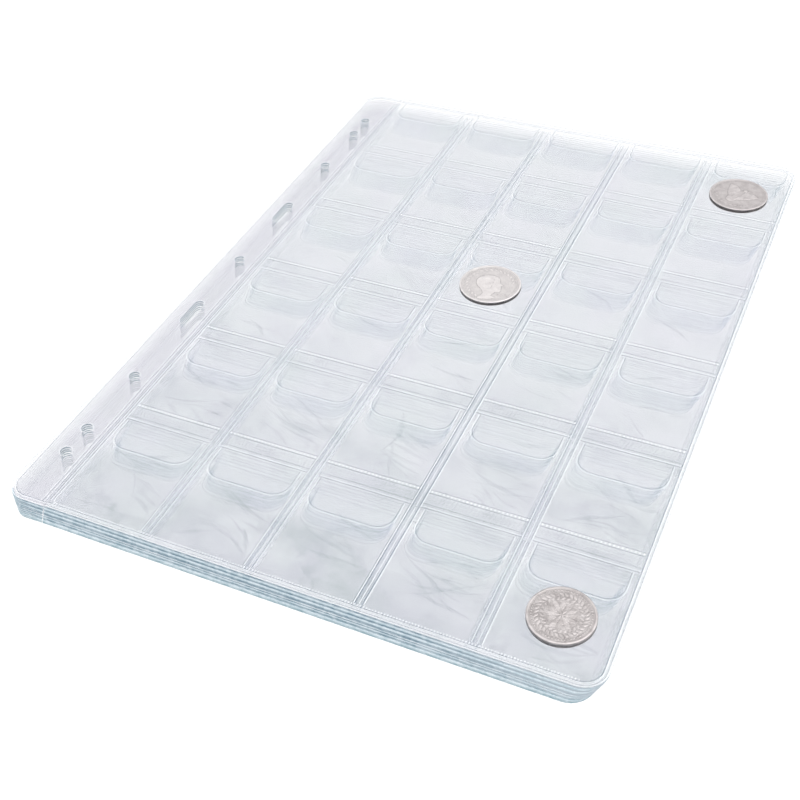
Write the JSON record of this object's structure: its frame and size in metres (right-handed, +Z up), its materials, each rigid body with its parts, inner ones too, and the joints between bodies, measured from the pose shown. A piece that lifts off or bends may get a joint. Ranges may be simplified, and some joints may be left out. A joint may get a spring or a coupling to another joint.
{
  "type": "coin album pages",
  "caption": "Stack of clear soft-vinyl coin pocket pages with flap-topped pockets and a punched binding edge, with loose coins lying on top.",
  "frame": {"origin": "middle of the stack's bounding box on the table plane", "axes": "+Z up; X from the punched binding edge (-X) to the open edge (+X); Y from the foot of the page (-Y) to its head (+Y)"},
  "size_m": [0.208, 0.29, 0.0123],
  "materials": {
    "strip_vinyl": "clear soft vinyl, two plies, faint bluish white haze, satin gloss",
    "sheet_vinyl": "clear soft vinyl film, smooth, slightly hazy",
    "pocket_vinyl": "clear soft vinyl film with welded seams, faint ripples and a knurled weld line",
    "flap_vinyl": "clear soft vinyl film, cut edge, glossy",
    "coin_metal": "struck copper-nickel, circulated satin sheen with worn relief"
  },
  "bodies": {
    "page_10": {"page_10_binding_strip": "strip_vinyl", "page_10_pocket_leaf": "pocket_vinyl"},
    "page_09": {"page_09_binding_strip": "strip_vinyl", "page_09_pocket_leaf": "pocket_vinyl"},
    "page_08": {"page_08_binding_strip": "strip_vinyl", "page_08_pocket_leaf": "pocket_vinyl"},
    "page_07": {"page_07_binding_strip": "strip_vinyl", "page_07_pocket_leaf": "pocket_vinyl"},
    "page_06": {"page_06_binding_strip": "strip_vinyl", "page_06_pocket_leaf": "pocket_vinyl"},
    "page_05": {"page_05_binding_strip": "strip_vinyl", "page_05_pocket_leaf": "pocket_vinyl"},
    "page_04": {"page_04_binding_strip": "strip_vinyl", "page_04_pocket_leaf": "pocket_vinyl"},
    "page_03": {"page_03_binding_strip": "strip_vinyl", "page_03_pocket_leaf": "pocket_vinyl"},
    "page_02": {"page_02_binding_strip": "strip_vinyl", "page_02_pocket_leaf": "pocket_vinyl"},
    "page_01": {"page_01_binding_strip": "strip_vinyl", "page_01_back_sheet": "sheet_vinyl", "page_01_pocket_row_1": "pocket_vinyl", "page_01_pocket_row_2": "pocket_vinyl", "page_01_pocket_row_3": "pocket_vinyl", "page_01_pocket_row_4": "pocket_vinyl", "page_01_pocket_row_5": "pocket_vinyl", "page_01_pocket_row_6": "pocket_vinyl"},
    "flap_r1_c1": {"page_01_flap_r1_c1": "flap_vinyl"},
    "flap_r1_c2": {"page_01_flap_r1_c2": "flap_vinyl"},
    "flap_r1_c3": {"page_01_flap_r1_c3": "flap_vinyl"},
    "flap_r1_c4": {"page_01_flap_r1_c4": "flap_vinyl"},
    "flap_r1_c5": {"page_01_flap_r1_c5": "flap_vinyl"},
    "flap_r2_c1": {"page_01_flap_r2_c1": "flap_vinyl"},
    "flap_r2_c2": {"page_01_flap_r2_c2": "flap_vinyl"},
    "flap_r2_c3": {"page_01_flap_r2_c3": "flap_vinyl"},
    "flap_r2_c4": {"page_01_flap_r2_c4": "flap_vinyl"},
    "flap_r2_c5": {"page_01_flap_r2_c5": "flap_vinyl"},
    "flap_r3_c1": {"page_01_flap_r3_c1": "flap_vinyl"},
    "flap_r3_c2": {"page_01_flap_r3_c2": "flap_vinyl"},
    "flap_r3_c3": {"page_01_flap_r3_c3": "flap_vinyl"},
    "flap_r3_c4": {"page_01_flap_r3_c4": "flap_vinyl"},
    "flap_r3_c5": {"page_01_flap_r3_c5": "flap_vinyl"},
    "flap_r4_c1": {"page_01_flap_r4_c1": "flap_vinyl"},
    "flap_r4_c2": {"page_01_flap_r4_c2": "flap_vinyl"},
    "flap_r4_c3": {"page_01_flap_r4_c3": "flap_vinyl"},
    "flap_r4_c4": {"page_01_flap_r4_c4": "flap_vinyl"},
    "flap_r4_c5": {"page_01_flap_r4_c5": "flap_vinyl"},
    "flap_r5_c1": {"page_01_flap_r5_c1": "flap_vinyl"},
    "flap_r5_c2": {"page_01_flap_r5_c2": "flap_vinyl"},
    "flap_r5_c3": {"page_01_flap_r5_c3": "flap_vinyl"},
    "flap_r5_c4": {"page_01_flap_r5_c4": "flap_vinyl"},
    "flap_r5_c5": {"page_01_flap_r5_c5": "flap_vinyl"},
    "flap_r6_c1": {"page_01_flap_r6_c1": "flap_vinyl"},
    "flap_r6_c2": {"page_01_flap_r6_c2": "flap_vinyl"},
    "flap_r6_c3": {"page_01_flap_r6_c3": "flap_vinyl"},
    "flap_r6_c4": {"page_01_flap_r6_c4": "flap_vinyl"},
    "flap_r6_c5": {"page_01_flap_r6_c5": "flap_vinyl"},
    "coin_small_foot": {"coin_small_foot": "coin_metal"},
    "coin_large_middle": {"coin_large_middle": "coin_metal"},
    "coin_large_head": {"coin_large_head": "coin_metal"}
  },
  "joints": [
    {"name": "page_09_turn", "type": "hinge", "parent": "page_10", "child": "page_09", "pos_m": [-0.104, 0, 0.00085], "axis": [0, -1, 0], "range_deg": [0, 19]},
    {"name": "page_08_turn", "type": "hinge", "parent": "page_09", "child": "page_08", "pos_m": [-0.104, 0, 0.00185], "axis": [0, -1, 0], "range_deg": [0, 19]},
    {"name": "page_07_turn", "type": "hinge", "parent": "page_08", "child": "page_07", "pos_m": [-0.104, 0, 0.00285], "axis": [0, -1, 0], "range_deg": [0, 19]},
    {"name": "page_06_turn", "type": "hinge", "parent": "page_07", "child": "page_06", "pos_m": [-0.104, 0, 0.00385], "axis": [0, -1, 0], "range_deg": [0, 19]},
    {"name": "page_05_turn", "type": "hinge", "parent": "page_06", "child": "page_05", "pos_m": [-0.104, 0, 0.00485], "axis": [0, -1, 0], "range_deg": [0, 19]},
    {"name": "page_04_turn", "type": "hinge", "parent": "page_05", "child": "page_04", "pos_m": [-0.104, 0, 0.00585], "axis": [0, -1, 0], "range_deg": [0, 19]},
    {"name": "page_03_turn", "type": "hinge", "parent": "page_04", "child": "page_03", "pos_m": [-0.104, 0, 0.00685], "axis": [0, -1, 0], "range_deg": [0, 19]},
    {"name": "page_02_turn", "type": "hinge", "parent": "page_03", "child": "page_02", "pos_m": [-0.104, 0, 0.00785], "axis": [0, -1, 0], "range_deg": [0, 19]},
    {"name": "page_01_turn", "type": "hinge", "parent": "page_02", "child": "page_01", "pos_m": [-0.104, 0, 0.00885], "axis": [0, -1, 0], "range_deg": [0, 19]},
    {"name": "flap_r1_c1_fold", "type": "hinge", "parent": "page_01", "child": "flap_r1_c1", "pos_m": [-0.0675, 0.141, 0.01056], "axis": [-1, 0, 0], "range_deg": [0, 150]},
    {"name": "flap_r1_c2_fold", "type": "hinge", "parent": "page_01", "child": "flap_r1_c2", "pos_m": [-0.0295, 0.141, 0.01056], "axis": [-1, 0, 0], "range_deg": [0, 150]},
    {"name": "flap_r1_c3_fold", "type": "hinge", "parent": "page_01", "child": "flap_r1_c3", "pos_m": [0.0085, 0.141, 0.01056], "axis": [-1, 0, 0], "range_deg": [0, 150]},
    {"name": "flap_r1_c4_fold", "type": "hinge", "parent": "page_01", "child": "flap_r1_c4", "pos_m": [0.0465, 0.141, 0.01056], "axis": [-1, 0, 0], "range_deg": [0, 150]},
    {"name": "flap_r1_c5_fold", "type": "hinge", "parent": "page_01", "child": "flap_r1_c5", "pos_m": [0.0845, 0.141, 0.01056], "axis": [-1, 0, 0], "range_deg": [0, 150]},
    {"name": "flap_r2_c1_fold", "type": "hinge", "parent": "page_01", "child": "flap_r2_c1", "pos_m": [-0.0675, 0.0929, 0.01056], "axis": [-1, 0, 0], "range_deg": [0, 150]},
    {"name": "flap_r2_c2_fold", "type": "hinge", "parent": "page_01", "child": "flap_r2_c2", "pos_m": [-0.0295, 0.0929, 0.01056], "axis": [-1, 0, 0], "range_deg": [0, 150]},
    {"name": "flap_r2_c3_fold", "type": "hinge", "parent": "page_01", "child": "flap_r2_c3", "pos_m": [0.0085, 0.0929, 0.01056], "axis": [-1, 0, 0], "range_deg": [0, 150]},
    {"name": "flap_r2_c4_fold", "type": "hinge", "parent": "page_01", "child": "flap_r2_c4", "pos_m": [0.0465, 0.0929, 0.01056], "axis": [-1, 0, 0], "range_deg": [0, 150]},
    {"name": "flap_r2_c5_fold", "type": "hinge", "parent": "page_01", "child": "flap_r2_c5", "pos_m": [0.0845, 0.0929, 0.01056], "axis": [-1, 0, 0], "range_deg": [0, 150]},
    {"name": "flap_r3_c1_fold", "type": "hinge", "parent": "page_01", "child": "flap_r3_c1", "pos_m": [-0.0675, 0.0448, 0.01056], "axis": [-1, 0, 0], "range_deg": [0, 150]},
    {"name": "flap_r3_c2_fold", "type": "hinge", "parent": "page_01", "child": "flap_r3_c2", "pos_m": [-0.0295, 0.0448, 0.01056], "axis": [-1, 0, 0], "range_deg": [0, 150]},
    {"name": "flap_r3_c3_fold", "type": "hinge", "parent": "page_01", "child": "flap_r3_c3", "pos_m": [0.0085, 0.0448, 0.01056], "axis": [-1, 0, 0], "range_deg": [0, 150]},
    {"name": "flap_r3_c4_fold", "type": "hinge", "parent": "page_01", "child": "flap_r3_c4", "pos_m": [0.0465, 0.0448, 0.01056], "axis": [-1, 0, 0], "range_deg": [0, 150]},
    {"name": "flap_r3_c5_fold", "type": "hinge", "parent": "page_01", "child": "flap_r3_c5", "pos_m": [0.0845, 0.0448, 0.01056], "axis": [-1, 0, 0], "range_deg": [0, 150]},
    {"name": "flap_r4_c1_fold", "type": "hinge", "parent": "page_01", "child": "flap_r4_c1", "pos_m": [-0.0675, -0.0033, 0.01056], "axis": [-1, 0, 0], "range_deg": [0, 150]},
    {"name": "flap_r4_c2_fold", "type": "hinge", "parent": "page_01", "child": "flap_r4_c2", "pos_m": [-0.0295, -0.0033, 0.01056], "axis": [-1, 0, 0], "range_deg": [0, 150]},
    {"name": "flap_r4_c3_fold", "type": "hinge", "parent": "page_01", "child": "flap_r4_c3", "pos_m": [0.0085, -0.0033, 0.01056], "axis": [-1, 0, 0], "range_deg": [0, 150]},
    {"name": "flap_r4_c4_fold", "type": "hinge", "parent": "page_01", "child": "flap_r4_c4", "pos_m": [0.0465, -0.0033, 0.01056], "axis": [-1, 0, 0], "range_deg": [0, 150]},
    {"name": "flap_r4_c5_fold", "type": "hinge", "parent": "page_01", "child": "flap_r4_c5", "pos_m": [0.0845, -0.0033, 0.01056], "axis": [-1, 0, 0], "range_deg": [0, 150]},
    {"name": "flap_r5_c1_fold", "type": "hinge", "parent": "page_01", "child": "flap_r5_c1", "pos_m": [-0.0675, -0.0514, 0.01056], "axis": [-1, 0, 0], "range_deg": [0, 150]},
    {"name": "flap_r5_c2_fold", "type": "hinge", "parent": "page_01", "child": "flap_r5_c2", "pos_m": [-0.0295, -0.0514, 0.01056], "axis": [-1, 0, 0], "range_deg": [0, 150]},
    {"name": "flap_r5_c3_fold", "type": "hinge", "parent": "page_01", "child": "flap_r5_c3", "pos_m": [0.0085, -0.0514, 0.01056], "axis": [-1, 0, 0], "range_deg": [0, 150]},
    {"name": "flap_r5_c4_fold", "type": "hinge", "parent": "page_01", "child": "flap_r5_c4", "pos_m": [0.0465, -0.0514, 0.01056], "axis": [-1, 0, 0], "range_deg": [0, 150]},
    {"name": "flap_r5_c5_fold", "type": "hinge", "parent": "page_01", "child": "flap_r5_c5", "pos_m": [0.0845, -0.0514, 0.01056], "axis": [-1, 0, 0], "range_deg": [0, 150]},
    {"name": "flap_r6_c1_fold", "type": "hinge", "parent": "page_01", "child": "flap_r6_c1", "pos_m": [-0.0675, -0.0995, 0.01056], "axis": [-1, 0, 0], "range_deg": [0, 150]},
    {"name": "flap_r6_c2_fold", "type": "hinge", "parent": "page_01", "child": "flap_r6_c2", "pos_m": [-0.0295, -0.0995, 0.01056], "axis": [-1, 0, 0], "range_deg": [0, 150]},
    {"name": "flap_r6_c3_fold", "type": "hinge", "parent": "page_01", "child": "flap_r6_c3", "pos_m": [0.0085, -0.0995, 0.01056], "axis": [-1, 0, 0], "range_deg": [0, 150]},
    {"name": "flap_r6_c4_fold", "type": "hinge", "parent": "page_01", "child": "flap_r6_c4", "pos_m": [0.0465, -0.0995, 0.01056], "axis": [-1, 0, 0], "range_deg": [0, 150]},
    {"name": "flap_r6_c5_fold", "type": "hinge", "parent": "page_01", "child": "flap_r6_c5", "pos_m": [0.0845, -0.0995, 0.01056], "axis": [-1, 0, 0], "range_deg": [0, 150]},
    {"name": "coin_small_foot_lift", "type": "slide", "parent": "page_01", "child": "coin_small_foot", "axis": [0, 0, 1], "range_m": [0, 0.06]},
    {"name": "coin_large_middle_lift", "type": "slide", "parent": "page_01", "child": "coin_large_middle", "axis": [0, 0, 1], "range_m": [0, 0.06]},
    {"name": "coin_large_head_lift", "type": "slide", "parent": "page_01", "child": "coin_large_head", "axis": [0, 0, 1], "range_m": [0, 0.06]}
  ]
}
